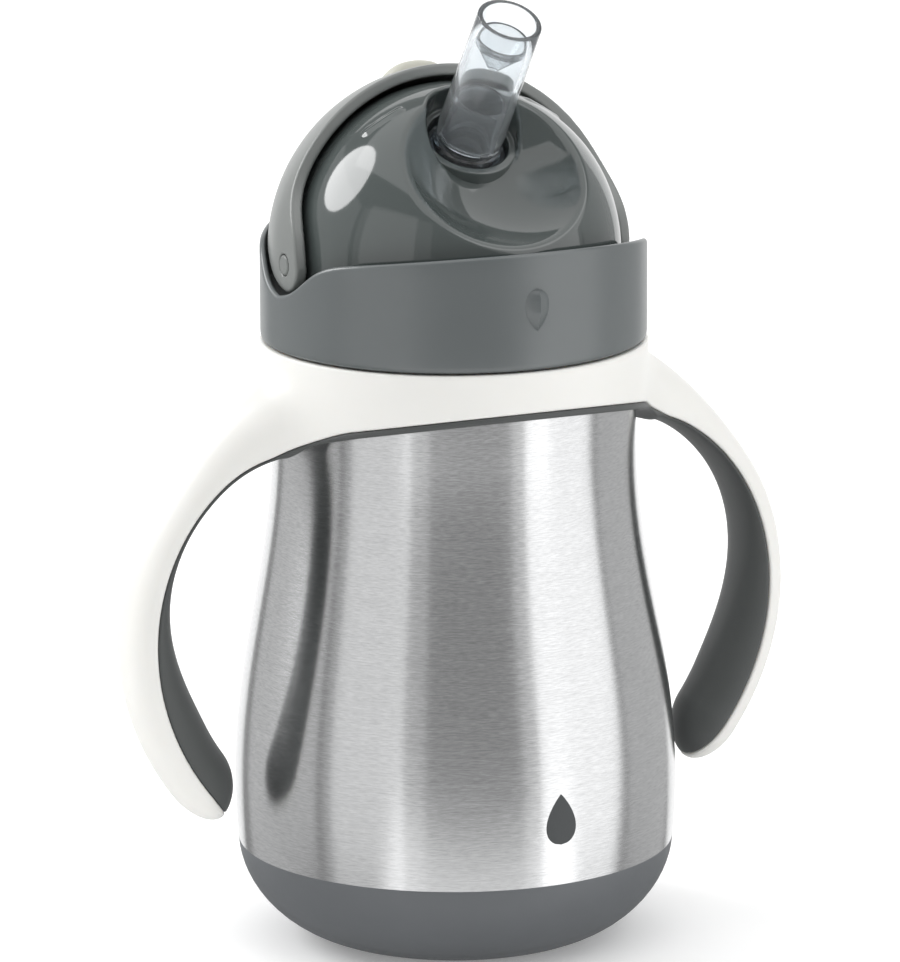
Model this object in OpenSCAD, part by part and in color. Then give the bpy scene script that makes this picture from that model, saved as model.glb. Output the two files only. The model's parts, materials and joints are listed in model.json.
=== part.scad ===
// Toddler's insulated straw cup: a double-walled steel bottle in a soft boot,
// a trapped collar with two open handles, and a screw lid whose hood flips
// over a folding straw. Millimetres, +Z up, origin at the centre of the foot,
// front towards -Y, handles along X. Shown with the hood open.

/* [Bottle] */
// Largest radius of the steel body
body_r = 38.97; // [36:0.01:42]
// Radius of the steel at the shoulder
shoulder_r = 31.87; // [30:0.01:33]
// Height at which the body is widest
belly_z = 28; // [24:1:34]
// Height at which the body has become the straight shoulder
shoulder_z = 90; // [80:1:92]
// Height of the soft boot round the foot
boot_h = 17.5; // [12:0.5:24]
// Radius of the flat foot
foot_r = 20.3; // [16:0.1:24]
// Thickness of each steel wall
steel_t = 0.6; // [0.4:0.1:1]
// Gap between the two steel walls
vacuum_gap = 2.5; // [1.5:0.1:4]
// Height of the bottle's rim
rim_z = 112.6; // [110:0.1:113]

/* [Collar and handles] */
// Outer radius of the collar
collar_r = 34; // [33.4:0.1:35]
// Height of the collar's lower edge at the front
collar_z = 98.7; // [97:0.1:100]
// How much lower the collar reaches at the handles than at the front
collar_dip = 8.5; // [4:0.5:9]
// Width of a handle, front to back
handle_w = 13; // [10:0.5:16]
// Radius of the handle's bow at its middle
bow_r = 39.1; // [37:0.1:41]
// Thickness of the white shell outside the seam
shell_bulge = 4.2; // [3:0.1:5]
// Thickness of the soft grip inside the seam, at the top
grip_min = 2; // [1.6:0.1:4]
// Thickness of the soft grip inside the seam, near the tip
grip_max = 7.2; // [5:0.1:8.5]

/* [Lid] */
// Outer radius of the lid's band
band_r = 34.2; // [34:0.1:35]
// Height of the band's lower edge
band_z = 107.5; // [107.4:0.1:108]
// Height of the hood's pivot, which is the dome's centre
pivot_z = 122.6; // [122:0.1:124]
// Outer radius of the dome
dome_r = 28.9; // [28:0.1:29]
// Radius of the hollow in front of the straw
basin_r = 24.6; // [23:0.1:26]
// Radius of a pivot pin
pin_r = 1.8; // [1.4:0.1:2.2]

/* [Hood] */
// Outer radius of the hood
hood_r = 31.9; // [31.6:0.1:32.2]
// Thickness of the hood
hood_t = 2.1; // [1.6:0.1:2.2]
// Half the width of a hood arm at its pivot
arm_half = 4.8; // [4:0.1:5]
// Angle between the hood's edges and the vertical or the horizontal
hood_lean = 9.5; // [6:0.5:12]

/* [Straw] */
// Outer radius of the mouthpiece
spout_r = 6; // [5:0.1:6.2]
// Lean of the mouthpiece from the vertical
spout_lean = 33; // [25:1:38]
// Length of the mouthpiece above the dome's hole
spout_len = 27.4; // [20:0.1:30]
// Outer radius of the drop straw
drop_r = 3.6; // [3:0.1:4]

/* [Hidden] */

steel = "silver";
slate = "dimgray";
grey = "slategray";
cream = "ivory";
soft = "darkslategray";
clear = "lightsteelblue";

round_fn = 96;

// bottle
neck_r = 29.4;
neck_z = 104;
thread_r = 30.2;
thread_pitch = 3;
boot_wall = 1.3;
boot_floor = 2.2;
liner_r = min(shoulder_r - vacuum_gap, neck_r) - steel_t - 0.02;
liner_floor_z = 9;
step_z = 3;
plate_in = 1.6;
plug_r = 4.5;
print_z = 29;
print_turn = 3;
print_w = 3.6;
print_h = 9;

// collar and handles, in polar form about the bow's centre
bow_x = 20.2;
bow_z = 59.3;
bow_top = 70;
bow_tip = -53;
tip_cap = 12;
flare_start = 38;
flare_rise = 10.4;
half_w = handle_w / 2;
widen_start = 50;
widen_by = 6;
ring_step = 4;
section_n = 12;
collar_top = 107.2;
collar_bore_r = 32.2;
lining_h = 1.4;

// lid
band_t = 1.3;
edge_gap = 0.4;
web_z = 115.5;
web_t = 1.3;
dome_t = 2;
basin_y = -30.5;
basin_dz = 30.1;
pin_head_x = 31.8;
pin_root_x = 25.6;
seat_r = 7.2;
seat_wall = 1.6;
plate_z = 114;
plate_t = 1.4;
gasket_t = 1.3;
mark_z = 118;
mark_w = 2.9;
mark_h = 7.6;
nipple_r = 4.6;
vent_y = 16;
vent_r = 3;
stop_turn = 31;
stop_reach = 5;
stop_r = 2.6;
boss_r = 3.4;

// hood
tab_turn = 38;
tab_half = 8.4;
tab_wid = 4;
tab_h = 3;

// straw
knee_dz = 10.84;
hole_t = 11.3;
spout_wall = 1.1;
drop_wall = 1.2;
drop_end_z = 14;
valve_up = 15;
valve_h = 4;

// ---- shared shapes ----

// Radius of the steel body at height z
function body_at(z) = z >= shoulder_z ? shoulder_r
    : shoulder_r + (body_r - shoulder_r) / 2
        * (1 + cos(180 * (z - belly_z) / (shoulder_z - belly_z)));

// Radius of the boot at height z: a superellipse from the foot to the joint
function boot_at(z) = foot_r + (body_at(boot_h) - foot_r)
    * pow(1 - pow(1 - min(1, z / boot_h), 1.86), 1 / 1.78);

// Radius of the steel inside the boot
function foot_at(z) = boot_at(z) - boot_wall;

// Distance of the hood's edge from its pivot plane, s along the edge
function hood_edge(s) = s * tan(hood_lean) - arm_half * exp(-pow(s / 10, 3));

// The handle's seam and its two thicknesses at bow angle a
function seam_r(a) = bow_r - 0.02 * a - 0.000008 * pow(a, 3);
function cap(a) = a > bow_tip + tip_cap ? 1
    : sqrt(max(0, 1 - pow((bow_tip + tip_cap - a) / tip_cap, 2)));
function flare(a) = a < flare_start ? 0
    : flare_rise * pow((a - flare_start) / 33, 2.2);
function swell(a) = let (u = min(1, max(0, (35 - a) / 65))) u * u * (3 - 2 * u);
function out_t(a) = (shell_bulge + flare(a)) * cap(a);
function in_t(a) = (grip_min + (grip_max - grip_min) * swell(a)) * cap(a);
function half_width(a) = (half_w + widen_by * pow(max(0, a - widen_start) / 22, 2)) * cap(a);
function bow_point(a, n, y) = [bow_x + (seam_r(a) + n) * cos(a), y, bow_z + (seam_r(a) + n) * sin(a)];

// Half of the handle: side = 1 outside the seam, side = -1 inside it
module half_handle(side) {
    angles = [for (a = [bow_tip + 0.6 : ring_step : bow_top + ring_step]) min(a, bow_top)];
    count = section_n + 1;
    pts = [for (a = angles) for (i = [0 : section_n])
        let (q = 180 * i / section_n, t = side > 0 ? out_t(a) : in_t(a))
        bow_point(a, side * t * pow(sin(q), 0.9), half_width(a) * cos(q))];
    last = len(angles) - 1;
    sides = [for (k = [0 : last - 1]) for (i = [0 : section_n])
        let (j = (i + 1) % count)
        [k * count + i, k * count + j, (k + 1) * count + j, (k + 1) * count + i]];
    first_ring = [for (i = [0 : section_n]) section_n - i];
    last_ring = [for (i = [0 : section_n]) last * count + i];
    faces = concat(sides, [first_ring], [last_ring]);
    turned = [for (f = faces) [for (i = [len(f) - 1 : -1 : 0]) f[i]]];
    polyhedron(pts, side > 0 ? faces : turned, convexity = 6);
}

// A bar along X whose cross-section is a list of [y, z] points
module along_x(points, length) {
    rotate([90, 0, 90])
        linear_extrude(height = length, center = true)
            polygon(points);
}

// Everything in the frame of the straw: z runs up the leaning axis
module on_straw(t) {
    translate([0, 0, pivot_z + knee_dz])
        rotate([spout_lean, 0, 0])
            translate([0, 0, t])
                children();
}

module ring(r_out, r_in, z, h) {
    translate([0, 0, z])
        rotate_extrude($fn = round_fn)
            translate([r_in, 0])
                square([r_out - r_in, h]);
}

// ---- bottle ----

module outer_shell() {
    foot_zs = [for (z = [step_z : 1.8 : boot_h - 0.2]) z];
    body_zs = [for (z = [boot_h + 0.1 : 4 : shoulder_z]) z];
    outside = concat([for (z = foot_zs) [foot_at(z), z]], [[foot_at(boot_h), boot_h + 0.1]],
        [for (z = body_zs) [body_at(z), z]],
        [[shoulder_r, shoulder_z], [shoulder_r, neck_z - 0.8], [shoulder_r - 0.8, neck_z],
         [neck_r, neck_z], [neck_r, rim_z - 0.6], [neck_r - 0.6, rim_z]]);
    inside = [for (p = outside) [p[0] - steel_t, p[1]]];
    last = len(inside) - 1;
    wall = concat(outside, [[neck_r - steel_t, rim_z], [neck_r - steel_t, neck_z - steel_t]],
        [for (i = [last - 4 : -1 : 0]) [inside[i][0], min(inside[i][1], neck_z - 1)]]);
    color(steel) {
        rotate_extrude($fn = round_fn) polygon(wall);
        for (k = [0 : 1])
            translate([0, 0, neck_z + 2.6 + k * thread_pitch])
                rotate_extrude($fn = round_fn)
                    polygon([[neck_r - 0.3, -1], [thread_r, -0.3], [thread_r, 0.3], [neck_r - 0.3, 1]]);
    }
}

module inner_liner() {
    zs = [for (z = [liner_floor_z + 8 : 4 : shoulder_z]) z];
    drop = steel_t + vacuum_gap;
    outside = concat([[0, liner_floor_z], [26, liner_floor_z], [31, liner_floor_z + 2],
        [33.6, liner_floor_z + 5]],
        [for (z = zs) [body_at(z) - drop, z]],
        [[liner_r, shoulder_z + 2], [liner_r, rim_z - 0.05]]);
    n = len(outside) - 1;
    inside = [for (i = [n : -1 : 0])
        [max(0, outside[i][0] - steel_t), outside[i][1] + (i < 2 ? steel_t : i < 3 ? 0.4 : 0)]];
    color(steel) rotate_extrude($fn = round_fn) polygon(concat(outside, inside));
}

module base_plate() {
    r = foot_at(step_z) - steel_t - 0.02;
    color(steel)
        difference() {
            translate([0, 0, step_z]) cylinder(r = r, h = plate_in, $fn = round_fn);
            translate([0, 0, step_z - 1]) cylinder(r = plug_r + 1.5, h = 1.6, $fn = round_fn);
        }
}

module vacuum_plug() {
    color("gray") translate([0, 0, step_z + plate_in]) cylinder(r = plug_r, h = 1.2, $fn = 48);
}

module base_boot() {
    zs = [0.4, 1.2, 2.5, 4, 6, 8, 10, 12, 14, 16];
    outside = concat([[foot_r - 1, 0]], [for (z = zs) [boot_at(z), z]],
        [[body_at(boot_h), boot_h - 0.3], [body_at(boot_h) - 0.3, boot_h]]);
    inner_zs = [for (z = [boot_h : -1.8 : step_z]) z];
    inside = concat([for (z = inner_zs) [foot_at(z) + 0.03, z]], [[foot_at(step_z), boot_floor + 0.6],
        [0, boot_floor + 0.6], [0, 0.8], [14, 0.8], [14.8, 0]]);
    color(slate) rotate_extrude($fn = round_fn) polygon(concat(outside, inside));
}

// A plain drop pad-printed on the steel
module printed_drop() {
    color("darkslategray")
        intersection() {
            difference() {
                cylinder(r = body_r + 0.06, h = 60, $fn = round_fn);
                translate([0, 0, -1]) cylinder(r = body_r + 0.01, h = 62, $fn = round_fn);
            }
            rotate([0, 0, print_turn])
                translate([0, -body_r, print_z])
                    rotate([90, 0, 0])
                        linear_extrude(height = 4, center = true)
                            drop_outline(print_w, print_h);
        }
}

// A drop, point up, w wide at its widest and h tall
module drop_outline(w, h) {
    pts = [for (q = [0 : 15 : 345]) let (u = (1 - cos(q)) / 2)
        [w * sin(q) * pow(sin(q / 2), 0.9), h * (0.5 - u)]];
    polygon(pts);
}

// ---- collar and handles ----

// Everything below the collar's dipping lower edge, lifted by h, as a solid along X
module below_collar(h) {
    edge = collar_z + h;
    side = collar_dip * half_w / collar_r;
    low = edge - collar_dip + side;
    along_x([[-collar_r - 6, 0], [collar_r + 6, 0], [collar_r + 6, edge], [collar_r, edge],
        [half_w, low], [-half_w, low], [-collar_r, edge], [-collar_r - 6, edge]], 90);
}

module handle_shell() {
    color(cream) {
        difference() {
            union() {
                difference() {
                    cylinder(r = collar_r, h = collar_top, $fn = round_fn);
                    below_collar(lining_h);
                }
                for (m = [0, 1]) mirror([m, 0, 0]) half_handle(1);
            }
            translate([0, 0, 60]) cylinder(r = collar_bore_r, h = neck_z + 0.3 - 60, $fn = round_fn);
            translate([0, 0, 60]) cylinder(r = neck_r + 1.3, h = 60, $fn = round_fn);
            translate([0, 0, collar_top]) cylinder(r = 80, h = 20, $fn = round_fn);
        }
    }
}

module collar_lining() {
    color(soft)
        difference() {
            intersection() {
                ring(collar_r - 0.1, collar_bore_r, collar_z - collar_dip - 2, collar_dip + 5);
                below_collar(lining_h);
            }
            below_collar(0);
            for (m = [0, 1]) mirror([m, 0, 0]) {
                half_handle(1);
                half_handle(-1);
            }
        }
}

module grip(m) {
    color(soft)
        difference() {
            mirror([m, 0, 0]) half_handle(-1);
            translate([0, 0, 60]) cylinder(r = collar_bore_r, h = 60, $fn = round_fn);
        }
}

module left_grip() { grip(1); }
module right_grip() { grip(0); }

// ---- lid ----

module lid_gasket() {
    color("whitesmoke") ring(neck_r + 0.8, liner_r - 0.6, rim_z + 0.05, gasket_t);
}

// Everything above the band's wavy top edge, as a solid along X
module above_band() {
    ss = [0, 1.5, 3, 4.5, 6, 7.5, 9, 11, 13, 16, 20, 26, 36];
    right = [for (s = ss) [s, pivot_z + hood_edge(s) - edge_gap]];
    left = [for (i = [len(ss) - 1 : -1 : 1]) [-ss[i], right[i][1]]];
    along_x(concat(left, right, [[36, 160], [-36, 160]]), 90);
}

module lid_band() {
    color(grey) {
        difference() {
            union() {
                ring(band_r, band_r - band_t, band_z, 24);
                ring(band_r - 0.5, dome_r + 0.6, web_z, web_t);
            }
            above_band();
        }
        intersection() {
            ring(band_r + 0.5, band_r - 0.5, band_z, 24);
            translate([0, -band_r, mark_z])
                rotate([90, 0, 0])
                    linear_extrude(height = 3, center = true)
                        rotate(180) drop_outline(mark_w, mark_h);
        }
    }
}

module thread_ring() {
    bore = thread_r + 0.5;
    color("whitesmoke") {
        ring(band_r - band_t - 0.05, bore, band_z + 0.4, web_z - band_z - 0.4);
    }
}

module inner_plate() {
    z1 = plate_z + plate_t;
    color("whitesmoke")
        difference() {
            union() {
                translate([0, 0, plate_z]) cylinder(r = thread_r + 0.4, h = plate_t, $fn = round_fn);
                translate([0, 0, z1 - 0.1]) cylinder(r = nipple_r, h = 5, $fn = 48);
                translate([0, 0, plate_z - 6]) cylinder(r = drop_r + 1.6, h = 6.2, $fn = 48);
            }
            translate([0, 0, plate_z - 7]) cylinder(r = drop_r + 0.02, h = 8, $fn = 48);
            translate([0, 0, plate_z]) cylinder(r = 2.4, h = 9, $fn = 48);
            translate([0, vent_y, plate_z - 1]) cylinder(r = vent_r - 1, h = 4, $fn = 48);
        }
}

module lid_dome() {
    centre = [0, 0, pivot_z];
    basin = [0, basin_y, pivot_z + basin_dz];
    skirt_z = web_z + web_t;
    color(grey)
        difference() {
            union() {
                difference() {
                    translate(centre) sphere(r = dome_r, $fn = round_fn);
                    cylinder(r = 60, h = pivot_z, $fn = round_fn);
                    difference() {
                        translate(centre) sphere(r = dome_r - dome_t, $fn = round_fn);
                        translate(basin) sphere(r = basin_r + dome_t, $fn = round_fn);
                    }
                }
                ring(dome_r, dome_r - dome_t, skirt_z - 1.3, pivot_z - skirt_z + 1.35);
                on_straw(hole_t - 6) cylinder(r = seat_r + seat_wall, h = 6, $fn = round_fn);
                for (m = [0, 1]) mirror([m, 0, 0]) {
                    translate([pin_root_x, 0, pivot_z])
                        rotate([0, 90, 0]) cylinder(r = boss_r, h = 2.4, $fn = 48);
                    translate(centre)
                        rotate([0, stop_turn, 0]) rotate([0, 0, -8])
                            translate([0, -stop_reach, dome_r - 2])
                                cylinder(r = stop_r, h = 1.7, $fn = 48);
                }
            }
            translate(basin) sphere(r = basin_r, $fn = round_fn);
            on_straw(hole_t - 3.2) cylinder(r = seat_r, h = 30, $fn = round_fn);
            on_straw(hole_t - 12) cylinder(r = spout_r - 1, h = 20, $fn = round_fn);
            for (m = [0, 1]) mirror([m, 0, 0])
                translate([pin_root_x + 0.6, 0, pivot_z])
                    rotate([0, 90, 0]) cylinder(r = pin_r + 0.01, h = 8, $fn = 48);
        }
}

module vent_valve() {
    color("gainsboro")
        translate([0, vent_y, plate_z])
            difference() {
                union() {
                    translate([0, 0, plate_t]) cylinder(r = vent_r, h = 1, $fn = 48);
                    translate([0, 0, -1.6]) cylinder(r = vent_r - 1.05, h = plate_t + 1.7, $fn = 48);
                }
                translate([0, 0, -0.8]) cylinder(r = 0.8, h = 5, $fn = 32);
            }
}

module spout_base() {
    bore = spout_r - spout_wall - 1.3;
    wall_r = spout_r - 1.05;
    knee = [0, 0, pivot_z + knee_dz];
    color(clear)
        difference() {
            union() {
                on_straw(0) cylinder(r = wall_r, h = hole_t - 2, $fn = 64);
                on_straw(hole_t - 3.15) cylinder(r = seat_r - 0.05, h = 1.4, $fn = 64);
                on_straw(hole_t - 2) cylinder(r = spout_r - 0.3, h = 2.6, $fn = 64);
                translate(knee) sphere(r = wall_r + 0.5, $fn = 64);
                translate([0, 0, plate_z + plate_t]) cylinder(r = wall_r + 1.2, h = 6, $fn = 64);
                translate([0, 0, plate_z + plate_t])
                    cylinder(r = wall_r, h = knee[2] - plate_z - plate_t, $fn = 64);
            }
            on_straw(0) cylinder(r = bore, h = 40, $fn = 64);
            translate(knee) sphere(r = bore + 0.3, $fn = 64);
            translate([0, 0, plate_z]) cylinder(r = bore, h = knee[2] - plate_z, $fn = 64);
            translate([0, 0, plate_z]) cylinder(r = nipple_r + 0.02, h = 6.5, $fn = 64);
        }
}

module drop_straw() {
    color("whitesmoke")
        ring(drop_r, drop_r - drop_wall, drop_end_z, plate_z + 0.9 - drop_end_z);
}

module pivot_pin() {
    color("gray")
        translate([pin_root_x + 0.7, 0, pivot_z])
            rotate([0, 90, 0]) cylinder(r = pin_r, h = pin_head_x - pin_root_x - 0.7, $fn = 48);
}

module left_pivot_pin() { mirror([1, 0, 0]) pivot_pin(); }
module right_pivot_pin() { pivot_pin(); }

// ---- hood ----

// Side view of the open hood, in [y, z] about the pivot
function hood_side() = let (
        ss = [for (s = [0 : 2 : 20]) s],
        front = concat([for (s = ss) [hood_edge(s), s]], [[hood_edge(36), 36]]),
        rear = [for (i = [len(front) - 1 : -1 : 0]) [front[i][1], front[i][0]]],
        foot = [for (q = [255 : -15 : 195]) [arm_half * cos(q), arm_half * sin(q)]])
    concat(front, [[44, 44]], rear, foot);

module flip_hood() {
    color(grey)
        translate([0, 0, pivot_z])
            difference() {
                intersection() {
                    sphere(r = hood_r, $fn = round_fn);
                    along_x(hood_side(), 80);
                }
                sphere(r = hood_r - hood_t, $fn = round_fn);
                rotate([0, 90, 0]) cylinder(r = pin_r + 0.05, h = 80, center = true, $fn = 48);
                rotate([-tab_turn, 0, 0])
                    translate([0, 0, hood_r - 0.8]) tab_body(tab_half, tab_wid, tab_h);
            }
}

// The tab's outline, straight up from its own origin
module tab_body(half_len, half_wid, height) {
    linear_extrude(height = height)
        union() {
            square([2 * (half_len - half_wid), 2 * half_wid], center = true);
            for (x = [-1, 1]) translate([x * (half_len - half_wid), 0]) circle(r = half_wid, $fn = 48);
        }
}

module thumb_tab() {
    color("beige")
        translate([0, 0, pivot_z])
            rotate([-tab_turn, 0, 0])
                translate([0, 0, hood_r - 0.79]) tab_body(tab_half - 0.01, tab_wid - 0.01, tab_h);
}

// ---- mouthpiece ----

module mouthpiece() {
    base = hole_t + 0.65;
    color(clear)
        on_straw(base)
            difference() {
                cylinder(r = spout_r, h = spout_len, $fn = 64);
                translate([0, 0, -1]) cylinder(r = spout_r - spout_wall, h = spout_len + 2, $fn = 64);
            }
}

module bite_valve() {
    seat = spout_r - spout_wall - 0.02;
    color("lightblue")
        on_straw(hole_t + valve_up)
            difference() {
                cylinder(r = seat, h = valve_h, $fn = 64);
                translate([0, 0, 1]) cylinder(r1 = 2.6, r2 = 4.4, h = valve_h, $fn = 64);
                translate([0, 0, -1]) cylinder(r = 0.8, h = valve_h, $fn = 32);
            }
}

outer_shell();
inner_liner();
base_plate();
vacuum_plug();
base_boot();
printed_drop();
handle_shell();
collar_lining();
left_grip();
right_grip();
lid_gasket();
lid_band();
thread_ring();
inner_plate();
lid_dome();
vent_valve();
spout_base();
drop_straw();
left_pivot_pin();
right_pivot_pin();
flip_hood();
thumb_tab();
mouthpiece();
bite_valve();
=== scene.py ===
import json
import math

import bmesh
import bpy
import numpy as np
from bpy.props import FloatProperty, FloatVectorProperty, PointerProperty
from mathutils import Matrix, Quaternion, Vector


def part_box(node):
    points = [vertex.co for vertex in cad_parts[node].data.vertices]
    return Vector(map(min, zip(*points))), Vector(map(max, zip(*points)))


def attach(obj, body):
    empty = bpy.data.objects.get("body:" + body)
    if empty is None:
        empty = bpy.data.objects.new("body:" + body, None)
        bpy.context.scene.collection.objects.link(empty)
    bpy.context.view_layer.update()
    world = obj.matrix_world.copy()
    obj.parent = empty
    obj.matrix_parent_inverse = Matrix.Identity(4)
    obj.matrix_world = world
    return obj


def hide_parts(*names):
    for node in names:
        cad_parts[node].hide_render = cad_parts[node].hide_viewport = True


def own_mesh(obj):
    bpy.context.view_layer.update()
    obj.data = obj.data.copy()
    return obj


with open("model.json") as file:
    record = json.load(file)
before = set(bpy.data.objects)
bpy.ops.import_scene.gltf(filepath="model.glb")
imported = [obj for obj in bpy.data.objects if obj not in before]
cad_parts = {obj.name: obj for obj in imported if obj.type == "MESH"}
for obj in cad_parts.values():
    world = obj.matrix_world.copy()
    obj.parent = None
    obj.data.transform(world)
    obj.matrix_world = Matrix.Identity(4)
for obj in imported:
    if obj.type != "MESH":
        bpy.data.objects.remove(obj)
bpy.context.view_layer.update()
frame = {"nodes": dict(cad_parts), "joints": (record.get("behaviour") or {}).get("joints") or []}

bl_info = {
    "name": "Insulated straw cup",
    "version": (1, 0, 0),
    "blender": (4, 5, 0),
    "location": "3D View > Sidebar > Straw cup",
    "description": "Builds the finished skins, finishes and studio of a toddler's straw cup",
    "category": "Object",
}

MM = 0.001


def joint_place(name):
    """Where a joint turns, in metres."""
    return next(j["pos_m"] for j in frame["joints"] if j["name"] == name)


def high(node, axis):
    """A CAD node's highest coordinate along an axis, in metres."""
    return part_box(node)[1][axis]


def low(node, axis):
    """A CAD node's lowest coordinate along an axis, in metres."""
    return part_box(node)[0][axis]


def in_mm(box):
    """The lowest and highest corners of a box in metres, in millimetres."""
    return [[v / MM for v in corner] for corner in box]


def heading(azimuth, elevation):
    """Unit vector towards a direction: turned from the front, raised from the level."""
    level = math.cos(elevation)
    return Vector((math.sin(azimuth) * level, -math.cos(azimuth) * level, math.sin(elevation)))


# ------------------------------------------------------------------ settings


def length(name, text, value):
    return FloatProperty(name=name, description=text, default=value, min=0.0,
                         subtype="DISTANCE", unit="LENGTH")


def tint(name, text, value):
    return FloatVectorProperty(name=name, description=text, default=value, min=0.0, max=1.0,
                               size=3, subtype="COLOR")


def turn(name, text, degrees):
    return FloatProperty(name=name, description=text, default=math.radians(degrees),
                         subtype="ANGLE", unit="ROTATION")


class BottleSettings(bpy.types.PropertyGroup):
    """Sizes and colours of the steel bottle and its boot"""

    belly_r: length("Belly radius", "Largest radius of the steel", high("outer_shell", 0))
    shoulder_r: length("Shoulder radius", "Radius of the straight shoulder", 0.03187)
    belly_z: length("Belly height", "Height at which the steel is widest", 0.028)
    shoulder_z: length("Shoulder height", "Height at which the shoulder becomes straight", 0.090)
    boot_h: length("Boot height", "Height of the soft boot", high("base_boot", 2))
    foot_r: length("Foot radius", "Radius of the flat foot", 0.0203)
    wall: length("Wall", "Thickness of each steel wall", 0.0006)
    steel: tint("Steel", "Colour of the brushed steel", (0.62, 0.625, 0.63))
    boot: tint("Boot", "Colour of the soft boot", (0.112, 0.120, 0.128))
    ink: tint("Ink", "Colour of the printed drop", (0.045, 0.05, 0.052))


class HandleSettings(bpy.types.PropertyGroup):
    """Sizes and colours of the collar and its two handles"""

    collar_r: length("Collar radius", "Outer radius of the collar", high("handle_shell", 1))
    top_z: length("Collar top", "Height of the collar's top face", high("handle_shell", 2))
    edge_z: length("Collar edge", "Height of the collar's lower edge at the front", 0.0987)
    dip: length("Collar dip", "How much lower the collar reaches at the handles", 0.0085)
    half_w: length("Half width", "Half the width of a handle", 0.0065)
    bow_r: length("Bow radius", "Radius of the handle's bow", 0.03905)
    shell: tint("Shell", "Colour of the white shell", (0.80, 0.795, 0.765))
    grip: tint("Grip", "Colour of the soft grips", (0.062, 0.067, 0.066))


class LidSettings(bpy.types.PropertyGroup):
    """Sizes and colours of the screw lid"""

    band_r: length("Band radius", "Outer radius of the band", high("lid_band", 0) - 0.0004)
    band_z: length("Band foot", "Height of the band's lower edge", low("lid_band", 2))
    pivot_z: length("Pivot height", "Height of the hood's pivots and the dome's centre",
                    joint_place("hood_flip")[2])
    dome_r: length("Dome radius", "Radius of the dome", high("lid_dome", 0) + 0.0004)
    basin_r: length("Basin radius", "Radius of the hollow in front of the straw", 0.0246)
    pin_r: length("Pin radius", "Radius of a pivot pin", 0.0018)
    band: tint("Band", "Colour of the matte band", (0.096, 0.109, 0.111))
    dome: tint("Dome", "Colour of the glossy dome", (0.070, 0.083, 0.081))
    inner: tint("Inner parts", "Colour of the lid's inner parts", (0.72, 0.72, 0.70))


class HoodSettings(bpy.types.PropertyGroup):
    """Sizes and colours of the flip hood and its tab"""

    outer_r: length("Outer radius", "Outer radius of the hood", 0.0324)
    wall: length("Wall", "Thickness of the hood", 0.0021)
    arm_half: length("Arm half width", "Half the width of an arm at its pivot", 0.0048)
    lean: turn("Lean", "Angle of the open hood's front edge behind the vertical", 9.5)
    tab_turn: turn("Tab turn", "Angle of the tab behind the vertical", 31)
    hood: tint("Hood", "Colour of the hood", (0.175, 0.186, 0.180))
    tab: tint("Tab", "Colour of the thumb tab", (0.50, 0.495, 0.435))


class StrawSettings(bpy.types.PropertyGroup):
    """Sizes and colours of the mouthpiece and the straw"""

    spout_r: length("Mouthpiece radius", "Outer radius of the mouthpiece", 0.0060)
    wall: length("Mouthpiece wall", "Thickness of its wall", 0.0011)
    lean: turn("Lean", "Forward lean of the mouthpiece", 33)
    knee_dz: length("Knee", "Height of the straw's knee above the pivots", 0.01084)
    hole_t: length("Hole", "Distance from the knee to the dome's hole", 0.0113)
    tip_t: length("Tip", "Distance from the knee to the mouthpiece's tip", 0.0379)
    sway: turn("Sway", "Sideways bend of the soft mouthpiece", 4)
    rise: turn("Rise", "How much straighter than its foot the mouthpiece stands", 3)
    silicone: tint("Silicone", "Tint of the clear silicone", (0.36, 0.50, 0.60))


class StageSettings(bpy.types.PropertyGroup):
    """Camera and lights"""

    azimuth: turn("Azimuth", "Camera's turn from the front", -25)
    elevation: turn("Elevation", "Camera's height angle", 13.04)
    roll: turn("Roll", "Camera's roll", -0.22)
    distance: length("Distance", "Camera's distance from its target", 1.304)
    target_z: length("Target height", "Height the camera looks at", 0.0811)
    lens: FloatProperty(name="Lens", description="Focal length in millimetres", default=277.9, min=1.0)
    shift_x: FloatProperty(name="Shift", description="Sideways shift of the lens", default=-0.0044)
    floor: tint("Floor", "Colour of the floor", (0.93, 0.93, 0.93))
    room: FloatProperty(name="Room light", description="Strength of the even room light",
                        default=0.30, min=0.0)


# ------------------------------------------------------------------- meshes


def put(name, mesh):
    obj = bpy.data.objects.new(name, mesh)
    bpy.context.scene.collection.objects.link(obj)
    return obj


def smoothed(mesh, angle=None):
    """Smooth faces; edges sharper than the angle, in degrees, stay sharp."""
    mesh.polygons.foreach_set("use_smooth", [True] * len(mesh.polygons))
    if angle is not None:
        mesh.set_sharp_from_angle(angle=math.radians(angle))


def mesh_piece(name, points, faces, smooth_angle=None, normals=None):
    """A piece from points in millimetres. Faces keep their given winding."""
    mesh = bpy.data.meshes.new(name)
    mesh.from_pydata((np.asarray(points) * MM).tolist(), [], [list(map(int, f)) for f in faces])
    mesh.validate()
    smoothed(mesh, smooth_angle)
    if normals is not None and len(normals) == len(mesh.vertices):
        mesh.normals_split_custom_set_from_vertices(normals.tolist())
    mesh.update()
    return put(name, mesh)


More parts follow.
